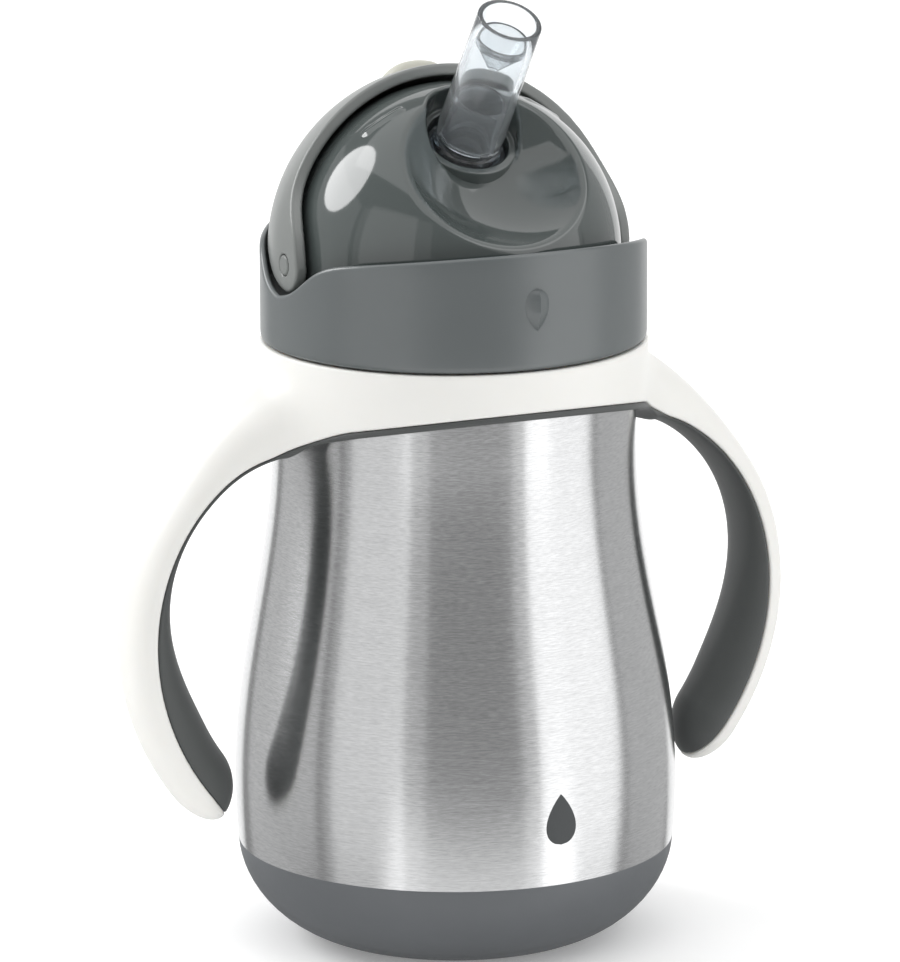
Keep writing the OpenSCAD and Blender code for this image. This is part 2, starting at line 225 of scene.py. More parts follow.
def lathe(name, profile, segments=192, smooth_angle=32):
    """A closed profile of (radius, height) turned about Z. It runs upwards on its outer side."""
    profile = [(max(r, 0.0), z) for r, z in profile]
    points, rows = [], []
    angles = np.linspace(0, 2 * math.pi, segments, endpoint=False)
    for r, z in profile:
        if r < 1e-6:
            rows.append([len(points)])
            points.append((0.0, 0.0, z))
        else:
            rows.append(list(range(len(points), len(points) + segments)))
            points.extend((r * math.cos(q), r * math.sin(q), z) for q in angles)
    faces = []
    count = len(rows)
    for k in range(count):
        a, b = rows[k], rows[(k + 1) % count]
        for i in range(segments):
            j = (i + 1) % segments
            if len(a) == 1 and len(b) == 1:
                continue
            if len(a) == 1:
                faces.append((a[0], b[j], b[i]))
            elif len(b) == 1:
                faces.append((a[i], a[j], b[0]))
            else:
                faces.append((a[i], a[j], b[j], b[i]))
    return mesh_piece(name, points, faces, smooth_angle)


def rounded(profile, radius, steps=4):
    """The closed profile with each corner turned into a short arc. A point may carry its own radius."""
    out = []
    count = len(profile)
    for k, corner in enumerate(profile):
        p = np.array(corner[:2], float)
        want = corner[2] if len(corner) > 2 else radius
        before = np.array(profile[k - 1][:2], float) - p
        after = np.array(profile[(k + 1) % count][:2], float) - p
        reach = min(want, 0.45 * np.linalg.norm(before), 0.45 * np.linalg.norm(after))
        if want <= 0 or p[0] < 1e-6 or reach < 1e-4:
            out.append(tuple(p))
            continue
        a = p + before / np.linalg.norm(before) * reach
        b = p + after / np.linalg.norm(after) * reach
        for i in range(steps + 1):
            t = i / steps
            out.append(tuple((1 - t) ** 2 * a + 2 * t * (1 - t) * p + t * t * b))
    return out


def sheet_faces(rows, columns, rim):
    """Faces of two grids of points, back to back. A rim joins their sides where they don't meet."""
    size = (rows + 1) * columns
    faces = []
    for i in range(rows):
        for j in range(columns - 1):
            a = i * columns + j
            quad = (a, a + columns, a + columns + 1, a + 1)
            faces += [quad, tuple(k + size for k in quad[::-1])]
    for i in range(rows if rim else 0):
        for j, turned in ((0, 1), (columns - 1, -1)):
            a, b = i * columns + j, (i + 1) * columns + j
            faces.append((a, b, b + size, a + size)[::turned])
    return faces


def blend_min(a, b, k):
    """The smaller of two distances, with a fillet of about k between their surfaces."""
    h = np.clip(0.5 + 0.5 * (b - a) / k, 0, 1)
    return b * (1 - h) + a * h - k * h * (1 - h)


def blend_max(a, b, k):
    """The larger of two distances, with an edge rounded by about k."""
    return -blend_min(-a, -b, k)


BLOCK = 8   # grid points along a block that is first tested at its middle
RELAX = 2   # rounds of evening out a skin's points


def field_grid(field, lowest, highest, step):
    """Values of a distance field on a grid; far blocks keep the value at their middle."""
    counts = np.ceil((np.subtract(highest, lowest) / step + 1) / BLOCK).astype(int) * BLOCK
    axes = [lowest[i] + step * np.arange(counts[i]) for i in range(3)]
    middles = [axis[BLOCK // 2::BLOCK] for axis in axes]
    values = field(*np.meshgrid(*middles, indexing="ij"))
    for i in range(3):
        values = np.repeat(values, BLOCK, axis=i)
    near = np.nonzero(np.abs(values) < 1.25 * BLOCK * step)
    values[near] = field(axes[0][near[0]], axes[1][near[1]], axes[2][near[2]])
    return values


def field_slope(field, points, reach=0.02):
    slope = np.empty_like(points)
    for i in range(3):
        offset = np.zeros(3)
        offset[i] = reach
        slope[:, i] = (field(*(points + offset).T) - field(*(points - offset).T)) / (2 * reach)
    return slope


def settle(field, points, limit):
    """Moves points onto the surface where the field is zero."""
    slope = field_slope(field, points)
    value = field(*points.T)
    move = slope * (value / np.maximum((slope ** 2).sum(1), 0.2))[:, None]
    size = np.linalg.norm(move, axis=1, keepdims=True)
    return points - move * np.minimum(1, limit / np.maximum(size, 1e-9))


def field_piece(name, field, lowest, highest, step):
    """A closed skin of quads over the surface where a field of distances, in millimetres, is zero."""
    values = field_grid(field, lowest, highest, step)
    inside = values < 0
    corners = np.zeros(np.array(inside.shape) - 1, np.uint8)
    for i in (0, 1):
        for j in (0, 1):
            for k in (0, 1):
                nx, ny, nz = corners.shape
                corners += inside[i:i + nx, j:j + ny, k:k + nz]
    active = (corners > 0) & (corners < 8)
    index = np.full(corners.shape, -1)
    cells = np.argwhere(active)
    index[active] = np.arange(len(cells))
    points = np.asarray(lowest) + (cells + 0.5) * step
    quads = []
    for axis in range(3):
        u, v = np.eye(3, dtype=int)[(axis + 1) % 3], np.eye(3, dtype=int)[(axis + 2) % 3]
        start = [slice(1, n - 1) for n in inside.shape]
        stop = list(start)
        start[axis], stop[axis] = slice(0, inside.shape[axis] - 1), slice(1, inside.shape[axis])
        here, there = inside[tuple(start)], inside[tuple(stop)]
        edges = np.argwhere(here != there)
        leaving = here[tuple(edges.T)]
        edges = edges + np.array([0 if i == axis else 1 for i in range(3)])
        ring = [index[tuple((edges - s).T)] for s in (0 * u, u, u + v, v)]
        quad = np.stack(ring, axis=1)
        quad[~leaving] = quad[~leaving][:, ::-1]
        quads.append(quad)
    quads = np.concatenate(quads)
    points = settle(field, points, step)
    for _ in range(RELAX):
        total = np.zeros_like(points)
        count = np.zeros(len(points))
        for a in range(4):
            for b in (1, 3):
                here, other = quads[:, a], quads[:, (a + b) % 4]
                for i in range(3):
                    total[:, i] += np.bincount(here, points[other, i], len(points))
                count += np.bincount(here, minlength=len(points))
        points = settle(field, 0.5 * points + 0.5 * total / np.maximum(count, 1)[:, None], step)
    points = settle(field, points, step)
    normals = field_slope(field, points)
    normals /= np.maximum(np.linalg.norm(normals, axis=1, keepdims=True), 1e-9)
    return mesh_piece(name, points, quads, normals=normals)


def moved(obj, matrix):
    """Moves a piece's mesh, so its object stays at the origin."""
    obj.data.transform(matrix)
    obj.data.update()
    return obj


def joined(name, pieces):
    """One piece from several."""
    with bpy.context.temp_override(active_object=pieces[0], object=pieces[0], selected_objects=pieces,
                                   selected_editable_objects=pieces):
        bpy.ops.object.join()
    pieces[0].name = name
    return pieces[0]


def straw_matrix(straw, lid):
    """From a frame whose Z runs from the knee up the leaning mouthpiece to the cup's frame."""
    knee = Vector((0, 0, lid.pivot_z + straw.knee_dz))
    return Matrix.Translation(knee) @ Matrix.Rotation(straw.lean, 4, "X")


# ----------------------------------------------------------- geometry nodes


class Graph:
    """A small helper that adds nodes and wires them in one call."""

    def __init__(self, tree):
        self.tree = tree

    def add(self, kind, inputs=None, **settings):
        node = self.tree.nodes.new(kind)
        for key, value in settings.items():
            setattr(node, key, value)
        for key, value in (inputs or {}).items():
            if isinstance(value, bpy.types.NodeSocket):
                self.tree.links.new(value, node.inputs[key])
            else:
                node.inputs[key].default_value = value
        return node

    def math(self, operation, a, b=0.0, c=0.0):
        return self.add("ShaderNodeMath", {0: a, 1: b, 2: c}, operation=operation).outputs[0]


def new_group(name, sockets):
    """A geometry node group with an output and one input for each (name, type, default)."""
    tree = bpy.data.node_groups.new(name, "GeometryNodeTree")
    tree.interface.new_socket("Geometry", in_out="OUTPUT", socket_type="NodeSocketGeometry")
    for label, kind, value in sockets:
        socket = tree.interface.new_socket(label, in_out="INPUT", socket_type=kind)
        if value is not None:
            socket.default_value = value
    return tree


def grown(name, tree, values, smooth_angle=None):
    """The plain mesh that a geometry node group makes from the named values."""
    holder = put(name + "_holder", bpy.data.meshes.new(name + "_holder"))
    modifier = holder.modifiers.new("Shape", "NODES")
    modifier.node_group = tree
    for item in tree.interface.items_tree:
        if item.in_out == "INPUT" and item.name in values:
            modifier[item.identifier] = values[item.name]
    depsgraph = bpy.context.evaluated_depsgraph_get()
    mesh = bpy.data.meshes.new_from_object(holder.evaluated_get(depsgraph), depsgraph=depsgraph)
    bpy.data.objects.remove(holder)
    mesh.name = name
    mesh.validate()
    smoothed(mesh, smooth_angle)
    return put(name, mesh)


def steel_body_group():
    """A turned wall whose radius follows a half cosine from the belly to the shoulder."""
    tree = new_group("Turned steel body", [
        ("Belly radius", "NodeSocketFloat", 0.039), ("Shoulder radius", "NodeSocketFloat", 0.032),
        ("Belly height", "NodeSocketFloat", 0.028), ("Shoulder height", "NodeSocketFloat", 0.09),
        ("Bottom", "NodeSocketFloat", 0.017), ("Top", "NodeSocketFloat", 0.103),
        ("Wall", "NodeSocketFloat", 0.0006), ("Segments", "NodeSocketInt", 257),
        ("Rings", "NodeSocketInt", 201), ("Material", "NodeSocketMaterial", None)])
    g = Graph(tree)
    given = g.add("NodeGroupInput").outputs
    grid = g.add("GeometryNodeMeshGrid", {"Size X": 1.0, "Size Y": 1.0, "Vertices X": given["Rings"],
                                          "Vertices Y": given["Segments"]})
    place = g.add("ShaderNodeSeparateXYZ", {0: g.add("GeometryNodeInputPosition").outputs[0]}).outputs
    path = g.math("MULTIPLY", g.math("ADD", place[0], 0.5), 2.0)
    angle = g.math("MULTIPLY", g.math("ADD", place[1], 0.5), -2 * math.pi)
    rise = g.math("SUBTRACT", 1.0, g.math("ABSOLUTE", g.math("SUBTRACT", path, 1.0)))
    span = g.math("SUBTRACT", given["Top"], given["Bottom"])
    z = g.math("MULTIPLY_ADD", rise, span, given["Bottom"])
    reach = g.math("SUBTRACT", given["Shoulder height"], given["Belly height"])
    share = g.math("DIVIDE", g.math("SUBTRACT", z, given["Belly height"]), reach)
    wave = g.math("COSINE", g.math("MULTIPLY", g.math("MINIMUM", share, 1.0), math.pi))
    swell = g.math("MULTIPLY", g.math("SUBTRACT", given["Belly radius"], given["Shoulder radius"]), 0.5)
    outer = g.math("MULTIPLY_ADD", swell, g.math("ADD", wave, 1.0), given["Shoulder radius"])
    inner_side = g.math("GREATER_THAN", path, 1.0001)
    not_closed = g.math("LESS_THAN", path, 1.9999)
    depth = g.math("MULTIPLY", given["Wall"], g.math("MULTIPLY", inner_side, not_closed))
    radius = g.math("SUBTRACT", outer, depth)
    x = g.math("MULTIPLY", radius, g.math("COSINE", angle))
    y = g.math("MULTIPLY", radius, g.math("SINE", angle))
    spot = g.add("ShaderNodeCombineXYZ", {0: x, 1: y, 2: z}).outputs[0]
    shaped = g.add("GeometryNodeSetPosition", {"Geometry": grid.outputs["Mesh"], "Position": spot})
    welded = g.add("GeometryNodeMergeByDistance", {"Geometry": shaped.outputs[0], "Distance": 1e-6})
    real = g.add("GeometryNodeRealizeInstances", {0: welded.outputs[0]})
    finish = g.add("GeometryNodeSetMaterial", {"Geometry": real.outputs[0], "Material": given["Material"]})
    g.add("NodeGroupOutput", {0: finish.outputs[0]})
    return tree


def thread_group():
    """A screw thread: a round bead swept along a helix."""
    tree = new_group("Screw thread", [
        ("Radius", "NodeSocketFloat", 0.0295), ("Bead", "NodeSocketFloat", 0.0006),
        ("Start height", "NodeSocketFloat", 0.105), ("Pitch", "NodeSocketFloat", 0.003),
        ("Turns", "NodeSocketFloat", 1.6), ("Material", "NodeSocketMaterial", None)])
    g = Graph(tree)
    given = g.add("NodeGroupInput").outputs
    rise = g.math("MULTIPLY", given["Pitch"], given["Turns"])
    helix = g.add("GeometryNodeCurveSpiral", {
        "Resolution": 96, "Rotations": given["Turns"], "Start Radius": given["Radius"],
        "End Radius": given["Radius"], "Height": rise})
    lift = g.add("ShaderNodeCombineXYZ", {2: given["Start height"]}).outputs[0]
    placed = g.add("GeometryNodeSetPosition", {"Geometry": helix.outputs[0], "Offset": lift})
    bead = g.add("GeometryNodeCurvePrimitiveCircle", {"Resolution": 12, "Radius": given["Bead"]})
    swept = g.add("GeometryNodeCurveToMesh", {"Curve": placed.outputs[0], "Profile Curve": bead.outputs[0],
                                              "Fill Caps": True})
    real = g.add("GeometryNodeRealizeInstances", {0: swept.outputs[0]})
    finish = g.add("GeometryNodeSetMaterial", {"Geometry": real.outputs[0], "Material": given["Material"]})
    g.add("NodeGroupOutput", {0: finish.outputs[0]})
    return tree


# ---------------------------------------------------------------- materials


def new_material(name, **values):
    """A material whose shader's own sockets hold the given values."""
    material = bpy.data.materials.new(name)
    material.use_nodes = True
    graph = Graph(material.node_tree)
    shader = material.node_tree.nodes["Principled BSDF"]
    for key, value in values.items():
        shader.inputs[key.replace("_", " ")].default_value = value
    return material, graph, shader


def rgba(colour, scale=1.0):
    return (colour[0] * scale, colour[1] * scale, colour[2] * scale, 1.0)


def noise_at(graph, place, scale, detail):
    return graph.add("ShaderNodeTexNoise", {"Vector": place, "Scale": scale, "Detail": detail}).outputs[0]


def toned(graph, shader, value, first, darker, lighter):
    """Base colour between two tones, as a value rises from the first position to its mirror."""
    ramp = graph.add("ShaderNodeValToRGB", {0: value})
    for element, position, tone in zip(ramp.color_ramp.elements, (first, 1 - first), (darker, lighter)):
        element.position = position
        element.color = tone
    graph.tree.links.new(ramp.outputs[0], shader.inputs["Base Color"])


def mottled(graph, shader, colour, scale, spread):
    """Base colour with a slight, slow change of tone."""
    coords = graph.add("ShaderNodeTexCoord").outputs["Object"]
    noise = noise_at(graph, coords, scale, 3.0)
    toned(graph, shader, noise, 0.3, rgba(colour, 1 - spread), rgba(colour, 1 + spread))
    return coords


def roughened(graph, shader, value, lowest, highest):
    span = graph.add("ShaderNodeMapRange", {0: value, 3: lowest, 4: highest})
    graph.tree.links.new(span.outputs[0], shader.inputs["Roughness"])


def bumped(graph, shader, height, strength, distance):
    bump = graph.add("ShaderNodeBump", {"Strength": strength, "Distance": distance, "Height": height})
    graph.tree.links.new(bump.outputs[0], shader.inputs["Normal"])


def moulded(name, colour, roughness, grain_scale, grain_depth, spread=0.03, **more):
    """Moulded plastic or rubber with a fine even texture."""
    material, graph, shader = new_material(name, Roughness=roughness, **more)
    coords = mottled(graph, shader, colour, 60.0, spread)
    wear = noise_at(graph, coords, 900.0, 4.0)
    roughened(graph, shader, wear, roughness * 0.92, min(1.0, roughness * 1.08))
    bumped(graph, shader, noise_at(graph, coords, grain_scale, 2.0), 0.35, grain_depth)
    return material


def brushed(name, colour, roughness, along=600.0, across=4200.0):
    """Steel brushed round the body: short strokes that run level."""
    material, graph, shader = new_material(name, Metallic=1.0, Anisotropic=0.9, Anisotropic_Rotation=0.25,
                                           Roughness=roughness)
    coords = graph.add("ShaderNodeTexCoord").outputs["Object"]
    place = graph.add("ShaderNodeSeparateXYZ", {0: coords}).outputs
    angle = graph.math("ARCTAN2", place[1], place[0])
    round_body = graph.math("MULTIPLY", angle, 0.036)

    def strokes(along, across, detail):
        spot = graph.add("ShaderNodeCombineXYZ", {
            0: graph.math("MULTIPLY", round_body, along), 1: graph.math("MULTIPLY", place[2], across)})
        return noise_at(graph, spot.outputs[0], 1.0, detail)

    fine = graph.math("MULTIPLY", strokes(along, across, 3.0), 0.7)
    both = graph.math("MULTIPLY_ADD", strokes(along * 0.2, across * 0.3, 4.0), 0.3, fine)
    toned(graph, shader, both, 0.32, rgba(colour, 0.85), rgba(colour, 1.13))
    roughened(graph, shader, both, roughness * 0.75, roughness * 1.25)
    bumped(graph, shader, both, 0.3, 0.00004)
    tangent = graph.add("ShaderNodeTangent", direction_type="RADIAL", axis="Z")
    graph.tree.links.new(tangent.outputs[0], shader.inputs["Tangent"])
    return material


def clear_silicone(name, colour):
    material, graph, shader = new_material(
        name, Roughness=0.04, IOR=1.41, Transmission_Weight=0.94, Specular_IOR_Level=0.5)
    depth = graph.add("ShaderNodeVolumeAbsorption", {"Color": rgba(colour), "Density": 70.0})
    graph.tree.links.new(depth.outputs[0], material.node_tree.nodes["Material Output"].inputs["Volume"])
    coords = mottled(graph, shader, (0.93, 0.95, 0.962), 90.0, 0.01)
    bumped(graph, shader, noise_at(graph, coords, 140.0, 1.0), 0.12, 0.0002)
    return material


def milky(weight, *radius):
    """Shader values of a plastic that lets a little light in."""
    return {"Subsurface_Weight": weight, "Subsurface_Radius": radius, "Subsurface_Scale": 1.0}


def make_materials(scene):
    """Every finish, by name."""
    bottle, handles, lid = scene.cup_bottle, scene.cup_handles, scene.cup_lid
    hood, straw, stage = scene.cup_hood, scene.cup_straw, scene.cup_stage
    finishes = {
        "steel": brushed("Brushed steel", bottle.steel, 0.23),
        "liner": brushed("Liner steel", bottle.steel, 0.33, along=300.0, across=3000.0),
        "boot": moulded("Boot silicone", bottle.boot, 0.52, 2600.0, 0.00004),
        "ink": moulded("Pad print", bottle.ink, 0.5, 5200.0, 0.00001),
        "shell": moulded("White shell", handles.shell, 0.40, 3400.0, 0.00002, 0.01,
                         **milky(0.08, 0.003, 0.0025, 0.002)),
        "grip": moulded("Soft grip", handles.grip, 0.52, 3000.0, 0.00004, Sheen_Weight=0.12,
                        Sheen_Roughness=0.5),
        "band": moulded("Matte band", lid.band, 0.33, 3400.0, 0.00003, Specular_IOR_Level=0.9),
        "dome": moulded("Gloss dome", lid.dome, 0.07, 300.0, 0.00001, 0.015,
                        Specular_IOR_Level=0.85),
        "hood": moulded("Satin hood", hood.hood, 0.33, 3200.0, 0.00002, Specular_IOR_Level=0.8),
        "tab": moulded("Thumb tab", hood.tab, 0.42, 3400.0, 0.00002,
                       **milky(0.1, 0.003, 0.003, 0.002)),
        "inner": moulded("Inner plastic", lid.inner, 0.38, 2800.0, 0.00002,
                         **milky(0.15, 0.003, 0.003, 0.003)),
        "seal": moulded("Seal silicone", (0.70, 0.71, 0.71), 0.45, 2600.0, 0.00003,
                        **milky(0.3, 0.003, 0.003, 0.003)),
        "pin": moulded("Pivot pin", hood.hood, 0.42, 3200.0, 0.00002),
        "silicone": clear_silicone("Clear silicone", straw.silicone),
        "floor": moulded("Pale floor", stage.floor, 0.8, 30.0, 0.00002, 0.004,
                         Emission_Color=rgba(stage.floor), Emission_Strength=0.2),
    }
    for name, material in finishes.items():
        material["cup_finish"] = name
    return finishes


def finish(name):
    """The material of that finish, made on first use."""
    for material in bpy.data.materials:
        if material.get("cup_finish") == name:
            return material
    return make_materials(bpy.context.scene)[name]


def coat(obj, name):
    """Gives a piece one finish."""
    obj.data.materials.clear()
    obj.data.materials.append(finish(name))
    return obj


def coat_node(node, name):
    """Gives a carried-over CAD node one finish, without touching its mesh."""
    obj = frame["nodes"][node]
    if not obj.material_slots:
        obj.data.materials.append(None)
    for slot in obj.material_slots:
        slot.material = finish(name)


def place(obj, body, slot, name, *nodes):
    """Finishes a piece: its coat, the body it rides on and the CAD nodes it stands for."""
    coat(obj, name)
    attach(obj, body)
    if nodes:
        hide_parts(*nodes)
    return obj


# ------------------------------------------------------------ shapes by rule


def body_radius(bottle, z):
    """Radius of the steel, in millimetres, at height z."""
    share = min(1.0, (z - bottle.belly_z / MM) / ((bottle.shoulder_z - bottle.belly_z) / MM))
    swell = (bottle.belly_r - bottle.shoulder_r) / MM / 2
    return bottle.shoulder_r / MM + swell * (1 + math.cos(math.pi * share))


def boot_radius(bottle, z):
    """Radius of the boot, in millimetres, at height z: a superellipse."""
    joint = body_radius(bottle, bottle.boot_h / MM)
    foot = bottle.foot_r / MM
    share = 1 - min(1.0, z / (bottle.boot_h / MM))
    return foot + (joint - foot) * (1 - share ** 1.86) ** (1 / 1.78)


def hood_edge(hood, s):
    """How far the hood's edge lies from its pivot plane, in millimetres, at s along the edge."""
    s = np.maximum(s, 0)
    return s * math.tan(hood.lean) - hood.arm_half / MM * np.exp(-(s / 10) ** 3)


# ------------------------------------------------------------------ pieces


class CUP_OT_bottle(bpy.types.Operator):
    """Steel body, neck with its thread, liner and soft boot"""

    bl_idname = "cup.bottle"
    bl_label = "Bottle"

    def execute(self, context):
        bottle = context.scene.cup_bottle
        wall = bottle.wall / MM
        joint = bottle.boot_h / MM
        shoulder = bottle.shoulder_r / MM
        rim = high("outer_shell", 2) / MM
        neck_r, step_z = 29.4, 104.0
        body = grown("steel_body", steel_body_group(), {
            "Belly radius": bottle.belly_r, "Shoulder radius": bottle.shoulder_r,
            "Belly height": bottle.belly_z, "Shoulder height": bottle.shoulder_z,
            "Bottom": (joint - 0.6) * MM, "Top": (step_z - 1.0) * MM, "Wall": bottle.wall,
            "Material": finish("steel")}, 40)
        place(body, "bottle", "steel", "steel", "outer_shell")

        neck = rounded([
            (shoulder - wall, step_z - 1.05, 0), (shoulder, step_z - 1.05, 0), (shoulder, step_z, 0.7),
            (neck_r, step_z, 0.5), (neck_r, rim, 0.55), (neck_r - 2.0, rim, 0.3),
            (neck_r - 2.0, rim - 1.0, 0), (neck_r - wall, rim - 1.0, 0), (neck_r - wall, step_z - wall, 0.3),
            (shoulder - wall, step_z - wall, 0.3)], 0.4, 5)
        place(lathe("steel_neck", neck), "bottle", "steel", "steel")
        thread = grown("neck_thread", thread_group(), {
            "Radius": (neck_r - 0.05) * MM, "Bead": 0.0009, "Start height": 0.1062, "Pitch": 0.003,
            "Turns": 1.5, "Material": finish("steel")})
        place(thread, "bottle", "steel", "steel")

        cover = 1.25
        foot_rows = np.linspace(2.6, joint - 0.55, 24)
        foot = [(boot_radius(bottle, z) - cover, z) for z in foot_rows]
        foot += [(foot[-1][0] - wall, foot_rows[-1])]
        foot += [(boot_radius(bottle, z) - cover - wall, z + 0.3) for z in foot_rows[-2::-1]]
        place(lathe("steel_foot", foot), "bottle", "steel", "liner")

        gap = wall + 2.5
        rows = np.linspace(17, 92, 50)
        floor_z = low("inner_liner", 2) / MM
        outside = [(0, floor_z), (24, floor_z), (28.5, floor_z + 0.7), (31.6, floor_z + 2.6),
                   (33.6, floor_z + 5)]
        outside += [(body_radius(bottle, z) - gap, z) for z in rows] + [(shoulder - gap, rim - 0.1)]
        inside = [(max(0.0, r - wall), z + (wall if z < floor_z + 1 else 0)) for r, z in outside[::-1]]
        place(lathe("liner_cup", outside + inside, 160, 50), "bottle", "liner_steel", "liner", "inner_liner")

        top_r = body_radius(bottle, joint)
        zs = [0.25, 0.6, 1.1, 1.8, 2.6, 3.6, 4.8, 6.0, 7.4, 8.8, 10.2, 11.6, 13.0, 14.4, 15.6, 16.6]
        skin = [(14.8, 0.0), (boot_radius(bottle, 0) - 0.8, 0.0)] + [(boot_radius(bottle, z), z) for z in zs]
        skin += [(top_r, joint - 0.35), (top_r - 0.12, joint - 0.1), (top_r - 0.4, joint)]
        back = [(boot_radius(bottle, z) - 1.2, z) for z in np.linspace(joint, 3.0, 14)]
        boot = skin + back + [(0, 2.8), (0, 0.8), (14.0, 0.8)]
        place(lathe("boot_skin", boot, 224, 40), "bottle", "boot", "boot", "base_boot")
        coat_node("base_plate", "liner")
        coat_node("vacuum_plug", "liner")
        return {"FINISHED"}


class CUP_OT_print(bpy.types.Operator):
    """A plain drop printed on the steel"""

    bl_idname = "cup.print"
    bl_label = "Printed drop"

    def execute(self, context):
        bottle = context.scene.cup_bottle
        lo, hi = in_mm(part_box("printed_drop"))
        middle_z, height = (lo[2] + hi[2]) / 2, hi[2] - lo[2]
        middle_x, half = (lo[0] + hi[0]) / 2, (hi[0] - lo[0]) / 2
        rows, columns = 40, 17
        proud, sunk = 0.05, -0.03
        points = []
        for side in (proud, sunk):
            for i in range(rows + 1):
                u = i / rows
                q = math.acos(1 - 2 * u)
                width = half * math.sin(q) * math.sin(q / 2) ** 0.9 / 0.77
                z = middle_z + height * (0.5 - u)
                for j in range(columns):
                    x = middle_x + width * (2 * j / (columns - 1) - 1)
                    r = body_radius(bottle, z) + side
                    points.append((x, -math.sqrt(r * r - x * x), z))
        obj = mesh_piece("drop_print", points, sheet_faces(rows, columns, True), 40)
        weld(obj, 1e-6)
        place(obj, "bottle", "print", "ink", "printed_drop")
        return {"FINISHED"}


def weld(obj, distance):
    """Merges a piece's doubled points and turns its faces outwards."""
    work = bmesh.new()
    work.from_mesh(obj.data)
    bmesh.ops.remove_doubles(work, verts=work.verts, dist=distance)
    bmesh.ops.dissolve_degenerate(work, dist=distance, edges=work.edges)
    bmesh.ops.recalc_face_normals(work, faces=work.faces)
    work.to_mesh(obj.data)
    work.free()


def handle_rules(handles):
    """Distance fields of the collar with its handles, and of the seam between white and grey.

    A handle follows a bow round a centre beside the body. Along it, a is the angle in degrees above the
    level, and n is the distance outwards from the seam.
    """
    bow_x, bow_z = 20.2, 59.3
    tip, cap = -53.0, 12.0
    power = 2.1
    bore_low, bore_high, bore_step = 32.2, 30.5, 104.4
    bow_only = 80
    half_w = handles.half_w / MM
    collar_r, top_z = handles.collar_r / MM, handles.top_z / MM
    edge_z, dip = handles.edge_z / MM, handles.dip / MM
    lining = 1.4

    def bow(x, z):
        dx, dz = np.abs(x) - bow_x, z - bow_z
        a = np.degrees(np.arctan2(dz, dx))
        seam = handles.bow_r / MM - 0.02 * a - 8e-6 * a ** 3
        return a, np.hypot(dx, dz) - seam

    def handle(x, y, z):
        a, n = bow(x, z)
        swell = np.clip((35 - a) / 65, 0, 1)
        inner = 1.7 + 5.5 * (swell * swell * (3 - 2 * swell)) ** 1.2
        outer = 4.25 + 7.5 * np.clip((a - 30) / 43, 0, 1.2) ** 1.95
        width = half_w + 6 * np.clip((a - 46) / 26, 0, 1.2) ** 2
        thick = np.where(n > 0, outer, inner)
        past = np.maximum(0, tip + cap - a) / cap
        terms = [(np.abs(y / width), width), (np.abs(n / thick), thick), (past, 7.5)]
        size = sum(t ** power for t, _ in terms) ** (1 / power) + 1e-6
        slope = np.sqrt(sum(((t / size) ** (power - 1) / reach) ** 2 for t, reach in terms))
        skin = (size - 1) / np.maximum(slope, 0.05)
        return np.maximum(skin, np.maximum(29 - np.abs(x), a - 84))

    def lining_edge(y):
        return edge_z - dip * (1 - np.sqrt(y * y + 9) / collar_r)

    def whole(x, y, z):
        r = np.hypot(x, y)
        ring = np.maximum(r - collar_r, lining_edge(y) - z)
        both = blend_min(ring, handle(x, y, z), 4.0)
        out = np.maximum((np.abs(x) - 30.5) / 9, 0)
        slack = 8 * np.minimum(out, 1) ** 2 + 300 * np.maximum(out - 0.9, 0)
        below = np.where(z < bow_only, -9.0, lining_edge(y) - z - slack)
        both = blend_max(both, below, 0.6)
        bore = np.where(z > bore_step, bore_high, bore_low)
        both = blend_max(both, z - top_z, 0.5)
        return blend_max(both, bore - r, 0.25)

    def seam(x, y, z):
        """Negative on the white side."""
        _, n = bow(x, z)
        share = np.clip((np.abs(x) - 28) / 11, 0, 1)
        share = share * share * (3 - 2 * share)
        return (1 - share) * (lining_edge(y) + lining - z) + share * -n

    return whole, seam


class CUP_OT_handles(bpy.types.Operator):
    """White collar and handle shell, and the soft grips and lining inside it"""

    bl_idname = "cup.handles"
    bl_label = "Handles"

    def execute(self, context):
        whole, seam = handle_rules(context.scene.cup_handles)
        lo, hi = in_mm(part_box("handle_shell"))
        lowest, highest = [v - 2 for v in lo], [v + 2 for v in hi]
        step = 0.36

        def white(x, y, z):
            return blend_max(whole(x, y, z), seam(x, y, z) + 0.02, 0.5)

        def grey(x, y, z):
            return blend_max(whole(x, y, z) + 0.05, 0.04 - seam(x, y, z), 0.5)

        shell = field_piece("collar_shell", white, lowest, highest, step)
        place(shell, "handles", "shell_white", "shell", "handle_shell")
        grips = field_piece("soft_lining", grey, lowest, highest, step)
        place(grips, "handles", "soft_grip", "grip", "collar_lining", "left_grip", "right_grip")
        return {"FINISHED"}


